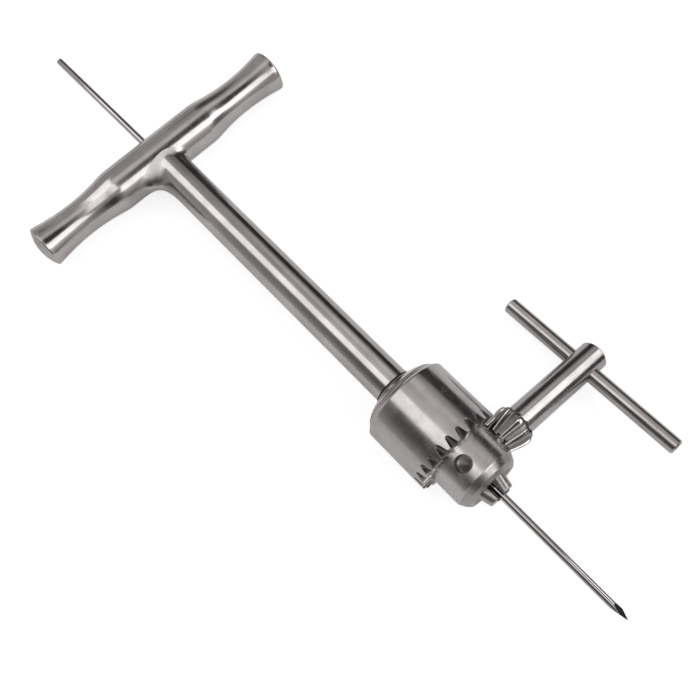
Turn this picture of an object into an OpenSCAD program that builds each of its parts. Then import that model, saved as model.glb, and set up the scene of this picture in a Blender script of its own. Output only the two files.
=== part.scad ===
// Cannulated surgical hand drill. A hollow crossbar and a tubular shaft make the T handle.
// The shaft carries a three-jaw keyed chuck that grips a trocar-pointed wire, and the wire
// runs back through the whole drill. The chuck key sits in one of the three pilot holes.
// The drill axis is X with the point at +X, the crossbar lies along Y, and Z is up.
// The origin is where the drill axis crosses the crossbar's axis.

/* [Crossbar] */
// Length of the crossbar between the rims of its end caps
bar_len = 99.4; // [80:0.2:120]
// Diameter of the thick middle
bar_mid_d = 15.1; // [14.4:0.1:18]
// Length of the thick middle
bar_mid_len = 40; // [34:0.5:48]
// Diameter at the narrowest place of each grip
bar_waist_d = 12.1; // [11.2:0.1:13.8]
// Diameter of each end
bar_end_d = 14.7; // [14:0.1:17]
// Length of the plain land beside each end cap
bar_land = 1; // [0.5:0.1:4]
// Bore of the hollow crossbar
bar_bore_d = 8.6; // [8:0.1:9.4]
// Chamfer at the seam between the crossbar and each end cap
cap_seam = 0.15; // [0.1:0.05:0.4]
// Height of the dome on each end cap
cap_dome = 1.9; // [1:0.1:3]
// Length of the plug of each end cap
cap_plug = 6; // [4:0.5:10]

/* [Shaft] */
// Outside diameter of the shaft tube
shaft_d = 12.4; // [11.4:0.1:14]
// Distance from the crossbar's axis to the rear face of the chuck
chuck_at = 116.6; // [90:0.2:150]
// Bore for the wire, right through the shaft tube and the chuck
cannula_d = 5.5; // [4.5:0.1:5.8]
// Diameter of the shaft's tenon, which crosses the hollow crossbar
tenon_d = 7.6; // [7:0.1:7.9]
// Diameter of the shaft's spigot in the chuck
arbor_d = 9.5; // [9:0.1:11]
// Length of the shaft's spigot in the chuck
arbor_len = 12; // [8:0.5:13]
// Reach of the weld on its wide side, the -Y side
weld_wide = 9; // [4:0.5:11]
// Reach of the weld on its narrow side
weld_narrow = 2; // [1.5:0.5:6]
// How far below the crossbar's top the weld runs out
weld_drop = 0.4; // [0.2:0.1:1]
// Height of the weld's edge over the two tubes
weld_edge = 0.12; // [0.1:0.01:0.3]

/* [Chuck] */
// Diameter of the gear sleeve
sleeve_d = 30; // [29:0.2:34]
// Length of the gear sleeve
sleeve_len = 23.8; // [23:0.2:26]
// Wall of the gear sleeve
sleeve_wall = 1.4; // [1:0.1:2]
// Length of the sleeve's rear chamfer
sleeve_chamfer = 1.1; // [0.5:0.1:2]
// Number of teeth on the sleeve
sleeve_teeth = 24; // [20:2:28]
// Depth of a tooth gap along the sleeve's outside
gap_depth = 3.3; // [2.6:0.1:3.6]
// Radius at the bottom of a tooth gap
gap_round = 0.4; // [0.2:0.05:0.6]
// Half angle between the flanks of a tooth gap
gap_angle = 26; // [18:1:28]
// Diameter of the small boss where the chuck meets the shaft
boss_d = 13; // [12.6:0.1:16]
// Length of the body's rear cone
rear_cone = 4.1; // [3:0.1:6]
// Diameter of the chuck's nose
nose_d = 21.8; // [21:0.1:23]
// Length of the nose from the sleeve to its bevel
nose_len = 10.4; // [9:0.1:14]
// Length of the long bevel at the nose's front
bevel_len = 2.2; // [1.5:0.1:3]
// Diameter of the nose where the long bevel ends
bevel_d = 19.4; // [19.2:0.1:20.8]
// Length of the short bevel in front of it
edge_len = 1.1; // [0.5:0.1:2]
// Diameter of the flat front face
front_d = 17.2; // [16:0.1:19]
// Diameter of the mouth that the jaws come out of
mouth_d = 14.4; // [13.6:0.1:15]
// Diameter of the mouth's floor
mouth_floor_d = 11.6; // [10:0.1:13]
// Depth of the mouth
mouth_len = 3; // [2:0.1:4]
// Distance from the sleeve's front to the pilot holes
pilot_gap = 4.8; // [4.6:0.1:6]
// Diameter of the pilot holes
pilot_hole_d = 5.5; // [5:0.1:5.8]
// Depth of the straight part of the pilot holes
pilot_hole_len = 4.8; // [3.5:0.1:4.9]
// Depth of the drilled cone at the bottom of the pilot holes
drill_cone = 1.6; // [1:0.1:1.6]
// Width of the split nut
nut_len = 5; // [4:0.1:6]
// Distance from the sleeve's front to the groove that holds the nut
nut_back = 5; // [4.8:0.1:6]

/* [Jaws] */
// Diameter of the round jaw bars
jaw_d = 5.2; // [4.6:0.1:5.4]
// Angle between each jaw and the drill axis
jaw_angle = 14.5; // [13:0.5:15]
// Length of the jaws along the drill axis
jaw_len = 28.3; // [26:0.1:29]
// How far the tips stand out of the front face
jaw_reach = 4; // [2:0.1:6]
// Distance of a jaw's axis from the drill axis at the tips
jaw_tip_r = 1.9; // [1.8:0.1:2.3]
// Travel of each jaw along its own axis
jaw_travel = 7; // [5:0.5:7]
// Pitch of the rack on the jaws and of the nut's thread
rack_pitch = 1.6; // [1.2:0.1:2]
// Depth of the rack
rack_depth = 0.5; // [0.3:0.05:0.6]
// Number of grooves in the rack
rack_grooves = 7; // [4:1:8]

/* [Wire] */
// Diameter of the wire
wire_d = 2.4; // [1.6:0.1:3]
// Length of the wire
wire_len = 268; // [200:1:320]
// How far the wire stands out of the jaws
wire_reach = 47.5; // [20:0.5:90]
// Length of the three-sided point
point_len = 5.8; // [3:0.1:9]

/* [Key] */
// Roll of the key about the drill axis, from +Y toward +Z
key_roll = -10.6; // [-30:0.1:30]
// Turn of the sleeve's teeth from the key
gear_phase = 5; // [0:0.5:15]
// Number of teeth on the pinion
pinion_teeth = 10; // [8:1:12]
// Diameter over the teeth at the pinion's small end
pinion_small_d = 9.6; // [9:0.1:9.7]
// Diameter over the teeth at the pinion's large end
pinion_large_d = 13.6; // [12:0.1:15]
// Length of the toothed cone
pinion_len = 7.6; // [6:0.1:9]
// Length of the cone behind the teeth
pinion_back = 1.5; // [1:0.1:3]
// Depth of the pinion's tooth gaps at the small end
tooth_small = 1.25; // [0.9:0.05:1.3]
// Depth of the pinion's tooth gaps at the large end
tooth_large = 1.6; // [1.2:0.05:2]
// Half angle between the flanks of a pinion gap
tooth_angle = 35; // [28:1:36]
// Width of the floor of a pinion gap
tooth_floor = 1; // [0.6:0.1:1.1]
// Length of the pilot pin that stands out of the pinion
pilot_reach = 5; // [3:0.1:5.1]
// Chamfer on the pilot pin's end
pilot_chamfer = 0.5; // [0.2:0.1:1]
// Length of the pilot pin inside the pinion
pilot_root = 3.6; // [2:0.1:3.8]
// Diameter of the key's stem
stem_d = 9.8; // [9:0.1:11]
// Distance from the drill axis to the stem's end
stem_end = 56.7; // [50:0.1:80]
// Chamfer on the stem's end
stem_chamfer = 0.9; // [0.3:0.1:1.5]
// Diameter of the stem's spigot in the pinion
spigot_d = 6.4; // [5.6:0.1:7]
// Length of the stem's spigot in the pinion
spigot_len = 5; // [4:0.1:5.2]
// Distance from the drill axis to the tommy bar
tommy_at = 50; // [44:0.1:72]
// Diameter of the tommy bar
tommy_d = 5.2; // [4:0.1:6]
// Length of the tommy bar
tommy_len = 68; // [50:0.5:90]
// How far the tommy bar is pushed through toward the point
tommy_shift = 3.5; // [-10:0.1:10]
// Turn of the tommy bar about the key's axis
tommy_turn = -2.6; // [-90:0.1:90]
// Chamfer on the tommy bar's ends
tommy_chamfer = 0.5; // [0.2:0.1:1]

/* [Fits] */
// Gap all round a turning or sliding fit
run_gap = 0.05; // [0.03:0.01:0.08]
// Gap all round a pressed or soldered fit
press_gap = 0.02; // [0.01:0.01:0.03]
// Gap between the weld and each of the two tubes
weld_seat = 0.03; // [0.02:0.01:0.05]
// Gap between the sleeve and the body under it
sleeve_gap = 0.1; // [0.06:0.01:0.2]
// Gap between the nut's thread and the jaws
thread_gap = 0.1; // [0.05:0.01:0.2]
// Gap at each side of the nut in its groove
nut_play = 0.15; // [0.1:0.05:0.3]
// Slit between the halves of the nut
nut_slit = 0.3; // [0.2:0.1:0.6]
// Open joint between the shaft and the chuck
joint_gap = 0.2; // [0.1:0.05:0.4]
// Gap between the pinion's small end and the nose
pinion_gap = 0.35; // [0.2:0.05:0.6]

/* [Hidden] */
$fn = 96;
// Overlap of a cutter past the face that it cuts
over = 1;
bar_half = bar_len / 2;
bar_mid_r = bar_mid_d / 2;
bar_waist_r = bar_waist_d / 2;
bar_end_r = bar_end_d / 2;
shaft_r = shaft_d / 2;
cannula_r = cannula_d / 2;

// Places along the drill axis
sleeve_x0 = chuck_at + rear_cone + sleeve_gap;
sleeve_x1 = sleeve_x0 + sleeve_len;
groove_x1 = sleeve_x1 - nut_back;
groove_x0 = groove_x1 - nut_len - 2 * nut_play;
pilot_x = sleeve_x1 + pilot_gap;
bevel_x = sleeve_x1 + nose_len;
front_x = bevel_x + bevel_len + edge_len;
tip_x = front_x + jaw_reach;
wire_x1 = tip_x + wire_reach;
wire_x0 = wire_x1 - wire_len;

// Radii and turns inside the chuck
jaw_count = 3;
jaw_step = 360 / jaw_count;
sleeve_r = sleeve_d / 2;
nose_r = nose_d / 2;
sleeve_bore_r = sleeve_r - sleeve_wall;
flange_r = sleeve_bore_r - sleeve_gap;
jaw_r = jaw_d / 2;
wire_r = wire_d / 2;
jaw_lift = jaw_travel * sin(jaw_angle);
jaw_trim_r = flange_r - jaw_lift;
neck_r = jaw_tip_r + (tip_x - groove_x1) * tan(jaw_angle) + thread_gap;

// The key, measured from the drill axis outward
pinion_k0 = nose_r + pinion_gap;
pinion_k1 = pinion_k0 + pinion_len;
pinion_k2 = pinion_k1 + pinion_back;
pilot_k0 = pinion_k0 - pilot_reach;
pilot_k1 = pinion_k0 + pilot_root;
gear_ratio = sleeve_teeth / pinion_teeth;

// Distance of a jaw's outer line from the drill axis at the place x
function jaw_out_r(x) = jaw_tip_r + (tip_x - x) * tan(jaw_angle) + jaw_r / cos(jaw_angle);

// Roll of a jaw about the drill axis, midway between two pilot holes
function jaw_roll(i) = key_roll + jaw_step / 2 + jaw_step * i;

// A solid drawn up the Z axis is laid along X or along Y
module along_x() { rotate([0, 90, 0]) children(); }
module along_y() { rotate([-90, 0, 0]) children(); }

// A cylinder on the drill axis between two places
module round_x(r, x0, x1) {
    translate([x0, 0, 0]) along_x() cylinder(r = r, h = x1 - x0);
}

// A flat outline in Y and Z is drawn out along X
module bar_x(length) { rotate([90, 0, 90]) linear_extrude(height = length) children(); }

// The key's own frame: local Z runs out along the key from the drill axis
module key_frame() {
    translate([pilot_x, 0, 0]) rotate([key_roll, 0, 0]) along_y() children();
}

// One jaw's own frame: local Z runs back along the jaw from its tip, local -Y is outward
module jaw_frame(i) {
    rotate([jaw_roll(i), 0, 0]) translate([tip_x, jaw_tip_r, 0])
        rotate([0, 0, 180 - jaw_angle]) along_x() children();
}

// Half of the crossbar's outline: a thick middle, a waist of two arcs and a plain land
module grip_outline() {
    shoulder = bar_mid_len / 2;
    land = bar_half - bar_land;
    waist = (shoulder + land) / 2;
    rise_in = bar_mid_r - bar_waist_r;
    rise_out = bar_end_r - bar_waist_r;
    arc_in = (pow(waist - shoulder, 2) + rise_in * rise_in) / (2 * rise_in);
    arc_out = (pow(land - waist, 2) + rise_out * rise_out) / (2 * rise_out);
    difference() {
        polygon([[0, 0], [bar_mid_r, 0], [bar_mid_r, waist], [bar_end_r, waist],
            [bar_end_r, bar_half - cap_seam], [bar_end_r - cap_seam, bar_half], [0, bar_half]]);
        intersection() {
            translate([bar_waist_r + arc_in, waist]) circle(r = arc_in, $fn = 360);
            square([bar_mid_r + over, waist]);
        }
        intersection() {
            translate([bar_waist_r + arc_out, waist]) circle(r = arc_out, $fn = 360);
            translate([0, waist]) square([bar_mid_r + over, bar_half]);
        }
    }
}

// The whole crossbar without its bores
module crossbar_blank() {
    along_y() rotate_extrude() {
        grip_outline();
        mirror([0, 1]) grip_outline();
    }
}

module crossbar() {
    color("gainsboro") difference() {
        crossbar_blank();
        along_y() cylinder(d = bar_bore_d, h = bar_len + 2 * over, center = true);
        round_x(tenon_d / 2 + press_gap, -bar_mid_d, bar_mid_d);
    }
}

// A domed plug that closes one end of the crossbar
module end_cap() {
    rim_r = bar_end_r - cap_seam;
    dome_r = (rim_r * rim_r + cap_dome * cap_dome) / (2 * cap_dome);
    along_y() {
        intersection() {
            translate([0, 0, bar_half + cap_dome - dome_r]) sphere(r = dome_r, $fn = 180);
            translate([0, 0, bar_half]) cylinder(r = rim_r, h = cap_dome + over);
        }
        translate([0, 0, bar_half - cap_plug]) cylinder(r = bar_bore_d / 2 - press_gap, h = cap_plug);
    }
}

module end_cap_left() { color("silver") mirror([0, 1, 0]) end_cap(); }
module end_cap_right() { color("silver") end_cap(); }

// The shaft: a tenon through the crossbar, the tube itself and a spigot in the chuck
module shaft_tube() {
    shaft_end = chuck_at - joint_gap;
    color("gainsboro") difference() {
        union() {
            intersection() {
                round_x(tenon_d / 2, -bar_mid_r, shaft_end);
                union() {
                    along_y() cylinder(r = bar_mid_r, h = tenon_d + over, center = true);
                    round_x(tenon_d / 2, 0, shaft_end);
                }
            }
            difference() {
                round_x(shaft_r, 0, shaft_end);
                along_y() cylinder(r = bar_mid_r, h = shaft_d + over, center = true);
            }
            round_x(arbor_d / 2, shaft_end - over, chuck_at + arbor_len);
        }
        round_x(cannula_r, -bar_mid_d, chuck_at + arbor_len + over);
    }
}

// The weld between the crossbar and the shaft, ground to one smooth sweep. At each angle
// round the shaft its section is a quadratic curve from the shaft to the crossbar, which
// leaves both nearly along their own surfaces. It reaches further on the -Y side, and its
// inner faces follow both tubes at the weld's seat.
module weld_fillet() {
    rings = 6;
    steps = 60;
    inner = 3;
    top = bar_mid_r - weld_drop;
    shaft_in = shaft_r + weld_seat;
    shaft_out = shaft_r + weld_edge;
    bar_in = bar_mid_r + weld_seat;
    bar_out = bar_mid_r + weld_edge;
    function reach(a) = (weld_wide + weld_narrow) / 2 - cos(a) * (weld_wide - weld_narrow) / 2;
    function on_round(r, y, z) = [sqrt(r * r - z * z), y, z];
    function corner(a, rs, rb) = on_round(rb, rs * cos(a), rs * sin(a));
    function on_shaft(a, rs) = [corner(a, shaft_out, bar_out)[0] + reach(a), rs * cos(a), rs * sin(a)];
    function on_bar(a, rb, t) = on_round(rb, (shaft_in + t * (reach(a) + shaft_r - shaft_in)) * cos(a),
        (shaft_in + t * (top - shaft_in)) * sin(a));
    function sweep(a, t) = (1 - t) * (1 - t) * on_shaft(a, shaft_out)
        + 2 * t * (1 - t) * corner(a, shaft_out, bar_out) + t * t * on_bar(a, bar_out, 1);
    points = [for (j = [0:rings + 1 + inner], i = [0:steps - 1]) let (a = i * 360 / steps)
        j == 0 ? on_shaft(a, shaft_in)
        : j <= rings + 1 ? sweep(a, (j - 1) / rings)
        : on_bar(a, bar_in, 1 - (j - rings - 2) / inner)];
    corners = [for (i = [0:steps - 1]) on_bar(i * 360 / steps, bar_in, 0)];
    count = rings + 3 + inner;
    faces = [for (j = [0:count - 1], i = [0:steps - 1])
        let (k = (j + 1) % count, n = (i + 1) % steps,
            p = j * steps + i, q = j * steps + n, r = k * steps + n, s = k * steps + i)
        each [[p, r, q], [p, s, r]]];
    color("gainsboro") polyhedron(points = concat(points, corners), faces = faces);
}

// The bore that one jaw slides in
module jaw_bore(i) {
    jaw_frame(i) translate([0, 0, -jaw_reach - over])
        cylinder(r = jaw_r + run_gap, h = jaw_reach + over + jaw_travel + over + jaw_len / cos(jaw_angle));
}

// One pilot hole for the key, with a drilled bottom
module pilot_hole(i) {
    bottom = nose_r - pilot_hole_len;
    translate([pilot_x, 0, 0]) rotate([key_roll + jaw_step * i, 0, 0]) along_y() rotate_extrude()
        polygon([[0, bottom - drill_cone], [pilot_hole_d / 2, bottom],
            [pilot_hole_d / 2, nose_r + over], [0, nose_r + over]]);
}

module chuck_body() {
    color("darkgray") difference() {
        along_x() rotate_extrude() polygon([[0, chuck_at], [boss_d / 2, chuck_at],
            [flange_r, chuck_at + rear_cone], [flange_r, groove_x0], [neck_r, groove_x0],
            [neck_r, groove_x1], [nose_r, groove_x1], [nose_r, bevel_x],
            [bevel_d / 2, bevel_x + bevel_len], [front_d / 2, front_x], [mouth_d / 2, front_x],
            [mouth_floor_d / 2, front_x - mouth_len], [0, front_x - mouth_len]]);
        round_x(arbor_d / 2 + press_gap, chuck_at - over, chuck_at + arbor_len + joint_gap);
        round_x(cannula_r, chuck_at, front_x + over);
        for (i = [0:jaw_count - 1]) {
            jaw_bore(i);
            pilot_hole(i);
        }
    }
}

// One tooth gap of the sleeve: a straight round-bottomed groove that rises inward
module sleeve_gap_cut() {
    run = sleeve_r - nose_r;
    slope = atan2(run, gap_depth);
    height = 2 * gap_depth;
    half = gap_round + (height - gap_round) * tan(gap_angle);
    translate([sleeve_x1 - gap_depth, sleeve_r, 0]) rotate([0, 0, -slope]) translate([-over, 0, 0])
        bar_x(norm([run, gap_depth]) + 2 * over) {
            translate([gap_round, 0]) circle(r = gap_round, $fn = 32);
            polygon([[gap_round, -gap_round], [gap_round, gap_round], [height, half], [height, -half]]);
        }
}

module gear_sleeve() {
    color("lightgray") difference() {
        along_x() rotate_extrude() polygon([[sleeve_bore_r, sleeve_x0],
            [sleeve_r, sleeve_x0 + sleeve_chamfer], [sleeve_r, sleeve_x1],
            [nose_r + sleeve_gap, sleeve_x1], [nose_r + sleeve_gap, groove_x1 + nut_play],
            [sleeve_bore_r, groove_x1 + nut_play]]);
        for (i = [0:sleeve_teeth - 1])
            rotate([key_roll + gear_phase + i * 360 / sleeve_teeth, 0, 0]) sleeve_gap_cut();
    }
}

// Half of the split nut, with a tapered thread that clears the jaws' racks
module nut_half() {
    x0 = groove_x0 + nut_play;
    x1 = x0 + nut_len;
    turns = floor(nut_len / rack_pitch);
    edge = (nut_len - turns * rack_pitch) / 2;
    inner = [for (i = [0:2 * turns]) let (x = x0 + edge + i * rack_pitch / 2)
        [jaw_out_r(x) + thread_gap + (i % 2) * rack_depth, x]];
    color("lightslategray") intersection() {
        along_x() rotate_extrude() polygon(concat([[jaw_out_r(x0) + thread_gap, x0]], inner,
            [[jaw_out_r(x1) + thread_gap, x1], [sleeve_bore_r - press_gap, x1],
            [sleeve_bore_r - press_gap, x0]]));
        translate([x0 - over, -sleeve_r, nut_slit / 2]) cube([nut_len + 2 * over, sleeve_d, sleeve_r]);
    }
}

module nut_half_upper() { nut_half(); }
module nut_half_lower() { rotate([180, 0, 0]) nut_half(); }

// A round bar on the slant, ground to a wedge whose edge lies along the wire
module jaw(i) {
    length = jaw_len / cos(jaw_angle);
    wedge_x0 = tip_x - jaw_len - 2 * over;
    edge_r = wire_r + press_gap;
    side = sleeve_r * tan(jaw_step / 2);
    color("dimgray") difference() {
        intersection() {
            jaw_frame(i) translate([0, 0, -jaw_d]) cylinder(r = jaw_r, h = length + jaw_d);
            rotate([jaw_roll(i), 0, 0]) translate([wedge_x0, 0, 0]) bar_x(tip_x - wedge_x0)
                polygon([[edge_r, 0], [edge_r + sleeve_r, side], [edge_r + sleeve_r, -side]]);
            round_x(jaw_trim_r, wedge_x0, tip_x);
        }
        jaw_frame(i) for (n = [0:rack_grooves - 1])
            translate([-jaw_r - over, 0, length - over - n * rack_pitch]) bar_x(jaw_d + 2 * over)
                polygon([[-jaw_r + rack_depth, 0], [-jaw_r - over, -rack_pitch / 2 - over],
                    [-jaw_r - over, rack_pitch / 2 + over]]);
    }
}

module jaw_1() { jaw(0); }
module jaw_2() { jaw(1); }
module jaw_3() { jaw(2); }

module guide_wire() {
    facet = atan(wire_r / point_len);
    color("silver") difference() {
        round_x(wire_r, wire_x0, wire_x1);
        for (i = [0:2])
            translate([wire_x1, 0, 0]) rotate([90 + 120 * i, 0, 0]) rotate([0, 0, -facet])
                translate([-2 * point_len, 0, -wire_d]) cube([3 * point_len, wire_d, 2 * wire_d]);
    }
}

// The pin that centres the key in a pilot hole, and that the pinion turns on
module key_pilot() {
    r = pilot_hole_d / 2 - run_gap;
    color("silver") key_frame() rotate_extrude()
        polygon([[0, pilot_k0], [r - pilot_chamfer, pilot_k0], [r, pilot_k0 + pilot_chamfer],
            [r, pilot_k1], [0, pilot_k1]]);
}

// One tooth gap of the pinion, cut along the slope of its root
module pinion_gap_cut() {
    small = pinion_small_d / 2 - tooth_small;
    large = pinion_large_d / 2 - tooth_large;
    slope = atan2(large - small, pinion_len);
    height = pinion_large_d / 2 - small + over;
    floor_half = tooth_floor / 2;
    half = floor_half + height * tan(tooth_angle);
    translate([small, 0, pinion_k0]) rotate([0, slope, 0]) translate([0, 0, -over])
        linear_extrude(height = pinion_len + pinion_back + 3 * over)
            polygon([[0, -floor_half], [height, -half], [height, half], [0, floor_half]]);
}

module key_pinion() {
    half_pitch = 180 / pinion_teeth;
    color("silver") key_frame() difference() {
        union() {
            translate([0, 0, pinion_k0])
                cylinder(r1 = pinion_small_d / 2, r2 = pinion_large_d / 2, h = pinion_len);
            translate([0, 0, pinion_k1])
                cylinder(r1 = pinion_large_d / 2, r2 = stem_d / 2, h = pinion_back);
        }
        translate([0, 0, pinion_k0 - over]) cylinder(d = pilot_hole_d, h = pilot_root + joint_gap + over);
        translate([0, 0, pinion_k2 - spigot_len - joint_gap])
            cylinder(r = spigot_d / 2 + press_gap, h = spigot_len + joint_gap + over);
        for (i = [0:pinion_teeth - 1])
            rotate(180 + gear_phase * gear_ratio + half_pitch * (2 * i + 1)) pinion_gap_cut();
    }
}

module key_stem() {
    color("gainsboro") key_frame() difference() {
        union() {
            translate([0, 0, pinion_k2 - spigot_len]) cylinder(d = spigot_d, h = spigot_len);
            translate([0, 0, pinion_k2]) cylinder(d = stem_d, h = stem_end - stem_chamfer - pinion_k2);
            translate([0, 0, stem_end - stem_chamfer])
                cylinder(r1 = stem_d / 2, r2 = stem_d / 2 - stem_chamfer, h = stem_chamfer);
        }
        translate([0, 0, tommy_at]) rotate(tommy_turn) along_x()
            cylinder(r = tommy_d / 2 + run_gap, h = stem_d + 2 * over, center = true);
    }
}

module tommy_bar() {
    r = tommy_d / 2;
    straight = tommy_len - 2 * tommy_chamfer;
    color("silver") key_frame() translate([0, 0, tommy_at]) rotate(tommy_turn)
        translate([tommy_shift, 0, 0]) along_x() {
            cylinder(r = r, h = straight, center = true);
            for (side = [0, 1]) mirror([0, 0, side]) translate([0, 0, straight / 2])
                cylinder(r1 = r, r2 = r - tommy_chamfer, h = tommy_chamfer);
        }
}

crossbar();
end_cap_left();
end_cap_right();
shaft_tube();
weld_fillet();
chuck_body();
gear_sleeve();
nut_half_upper();
nut_half_lower();
jaw_1();
jaw_2();
jaw_3();
guide_wire();
key_pilot();
key_pinion();
key_stem();
tommy_bar();
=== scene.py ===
# %% [markdown]
# # A stainless hand drill for bone
#
# The drill is a T handle with a keyed chuck, and a thin wire runs through all of it. Nearly
# every surface is bare steel, so this lesson is about three things: clean shapes, a studio for
# the steel to reflect, and the fine marks that machining leaves. The exact CAD model comes in
# first as a fixed frame, and each piece made here sits where that model says.

# %% Load the frame
import math

import bpy
import numpy as np
from mathutils import Matrix, Vector


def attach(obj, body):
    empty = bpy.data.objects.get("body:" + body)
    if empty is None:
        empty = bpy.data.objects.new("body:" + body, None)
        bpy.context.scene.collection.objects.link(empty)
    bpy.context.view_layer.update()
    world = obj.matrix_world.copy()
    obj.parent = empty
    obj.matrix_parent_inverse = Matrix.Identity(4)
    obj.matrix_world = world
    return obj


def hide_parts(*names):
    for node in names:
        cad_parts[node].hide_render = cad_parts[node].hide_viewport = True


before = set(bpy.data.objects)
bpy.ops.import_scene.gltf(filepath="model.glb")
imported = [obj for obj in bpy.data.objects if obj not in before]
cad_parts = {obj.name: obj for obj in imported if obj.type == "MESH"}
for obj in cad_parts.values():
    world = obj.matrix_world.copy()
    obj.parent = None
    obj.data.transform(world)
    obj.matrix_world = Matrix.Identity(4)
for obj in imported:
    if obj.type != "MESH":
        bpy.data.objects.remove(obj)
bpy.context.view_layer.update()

MM = 0.001

# %% [markdown]
# ## The camera
#
# The picture was taken from above and from the point's side, with the drill running from the
# upper left to the lower right. A camera can be placed by eye, but here its place was solved
# from a few points of the CAD model and where they fall in the picture. The view direction and
# the up direction fix how it is turned, and no lens shift is needed.

# %% Camera
CAMERA_AT = Vector((0.190905, -0.057766, 0.272497))
CAMERA_LOOK = Vector((-0.31629, 0.19268, -0.92889))
CAMERA_UP = Vector((-0.66913, 0.64877, 0.36242))


def aimed_camera(at, look, up, lens):
    """A camera whose -Z axis is the look direction and whose Y axis is as near up as it can be."""
    back = -look.normalized()
    right = up.cross(back).normalized()
    turn = Matrix((right, back.cross(right), back)).transposed().to_4x4()
    data = bpy.data.cameras.new("camera")
    data.lens = lens
    data.sensor_width = 36
    data.clip_start, data.clip_end = 0.01, 20
    camera = bpy.data.objects.new("camera", data)
    camera.matrix_world = Matrix.Translation(at) @ turn
    bpy.context.scene.collection.objects.link(camera)
    return camera


bpy.context.scene.camera = aimed_camera(CAMERA_AT, CAMERA_LOOK, CAMERA_UP, lens=48.66)
bpy.context.scene.view_settings.view_transform = "Standard"
print("camera lens:", bpy.context.scene.camera.data.lens)

# %% [markdown]
# ## Small helpers for node trees
#
# A material is a tree of nodes. Adding nodes one by one is clear in Blender's editor but long
# in a script, so one helper adds a node with its settings and fills or links its sockets, and
# three more give the sums that come up again and again.


# %% Node helpers
def add_node(tree, kind, sockets=(), **settings):
    """A new node, with its settings and its sockets filled in or linked."""
    node = tree.nodes.new("ShaderNode" + kind)
    for name, value in settings.items():
        setattr(node, name, value)
    for name, value in dict(sockets).items():
        if isinstance(value, bpy.types.NodeSocket):
            tree.links.new(value, node.inputs[name])
        else:
            node.inputs[name].default_value = value
    return node


def total(tree, operation, *values):
    """The output of a Math node on one to three values or sockets."""
    return add_node(tree, "Math", enumerate(values), operation=operation).outputs[0]


def ramp(tree, value, start, end, low=0.0, high=1.0, soft=True):
    """Low up to start, high from end on, and a smooth or straight rise between them."""
    kind = "SMOOTHSTEP" if soft else "LINEAR"
    sockets = {0: value, 1: start, 2: end, 3: low, 4: high}
    return add_node(tree, "MapRange", sockets, interpolation_type=kind).outputs[0]


def blend(tree, share, first, second):
    """The first colour where the share is 0 and the second where it is 1."""
    mix = add_node(tree, "Mix", {0: share}, data_type="RGBA")
    for socket, value in zip(mix.inputs[6:8], (first, second)):
        if isinstance(value, bpy.types.NodeSocket):
            tree.links.new(value, socket)
        else:
            socket.default_value = (*value, 1)
    return mix.outputs[2]


# %% [markdown]
# ## The studio
#
# Steel shows its surroundings, so the studio is most of the finish. The streaks in the picture
# tell where things stood: soft lights overhead, beyond the point and on the key's side, pale
# walls with darker and brighter places, and a dark gap low down behind the key. The lights are
# area lamps. The walls are the world's colour, worked out from the direction alone: each place
# is an ellipsoid round a direction, darker than the wall where its share is below 1 and
# brighter where it is above. Real cards and cloths could be modelled instead, but a place is
# one line of numbers, so a streak is easy to move. The camera itself sees the world as white.

# %% World
WALL = (0.463, 0.447, 0.441)
PLACES = (
    # middle of the place, its half size along X, Y and Z, and the share of the wall's light there
    ((0.24, 0.32, 0.92), (0.36, 0.32, 0.70), 0.10),
    ((-0.72, 0.43, 0.54), (0.34, 0.30, 0.40), 0.25),
    ((0.88, -0.34, 0.28), (0.48, 0.42, 0.65), 0.08),
    ((0.12, -0.79, 0.57), (0.80, 0.50, 0.80), 0.21),
    ((0.55, -0.62, 0.52), (0.34, 0.30, 0.50), 0.22),
    ((-0.28, 0.50, 0.80), (0.26, 0.22, 0.40), 1.80),
    ((-0.18, 0.10, 0.98), (0.30, 0.40, 0.30), 1.75),
    ((0.84, 0.28, 0.46), (0.22, 0.34, 0.30), 1.90),
)
PLACE_CORE = 0.35  # share of a place's half size that has its full strength
# Where the dark gap fades in, going down along Z and out along Y, and how dark it gets
GAP_SINKS, GAP_OPENS, GAP_DARK = (0.62, 0.46), (0.3, 0.6), 0.9


def studio_world():
    """Pale walls, times a dark gap low down on the +Y side, times the share of each place.

    A place is an ellipsoid round a direction: its share fades to 1 from its core to its rim."""
    world = bpy.data.worlds.new("studio")
    world.use_nodes = True
    tree = world.node_tree
    tree.nodes.clear()
    direction = add_node(tree, "TexCoord").outputs["Generated"]
    x, y, z = add_node(tree, "SeparateXYZ", {0: direction}).outputs
    gap = total(tree, "MULTIPLY", ramp(tree, z, *GAP_SINKS), ramp(tree, y, *GAP_OPENS))
    level = total(tree, "SUBTRACT", 1, total(tree, "MULTIPLY", gap, GAP_DARK))
    for middle, size, share in PLACES:
        away = add_node(tree, "VectorMath", {0: direction, 1: middle}, operation="SUBTRACT").outputs[0]
        scaled = add_node(tree, "VectorMath", {0: away, 1: size}, operation="DIVIDE").outputs[0]
        length = add_node(tree, "VectorMath", {0: scaled}, operation="LENGTH").outputs["Value"]
        level = total(tree, "MULTIPLY", level, ramp(tree, length, PLACE_CORE, 1.0, share, 1.0))
    walls = add_node(tree, "Background", {0: (*WALL, 1), 1: level})
    white = add_node(tree, "Background", {0: (1, 1, 1, 1), 1: 1})
    seen = add_node(tree, "LightPath").outputs["Is Camera Ray"]
    mix = add_node(tree, "MixShader", {0: seen, 1: walls.outputs[0], 2: white.outputs[0]})
    add_node(tree, "OutputWorld", {0: mix.outputs[0]})
    return world


bpy.context.scene.world = studio_world()
print("walls with", len(PLACES), "places")

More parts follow.
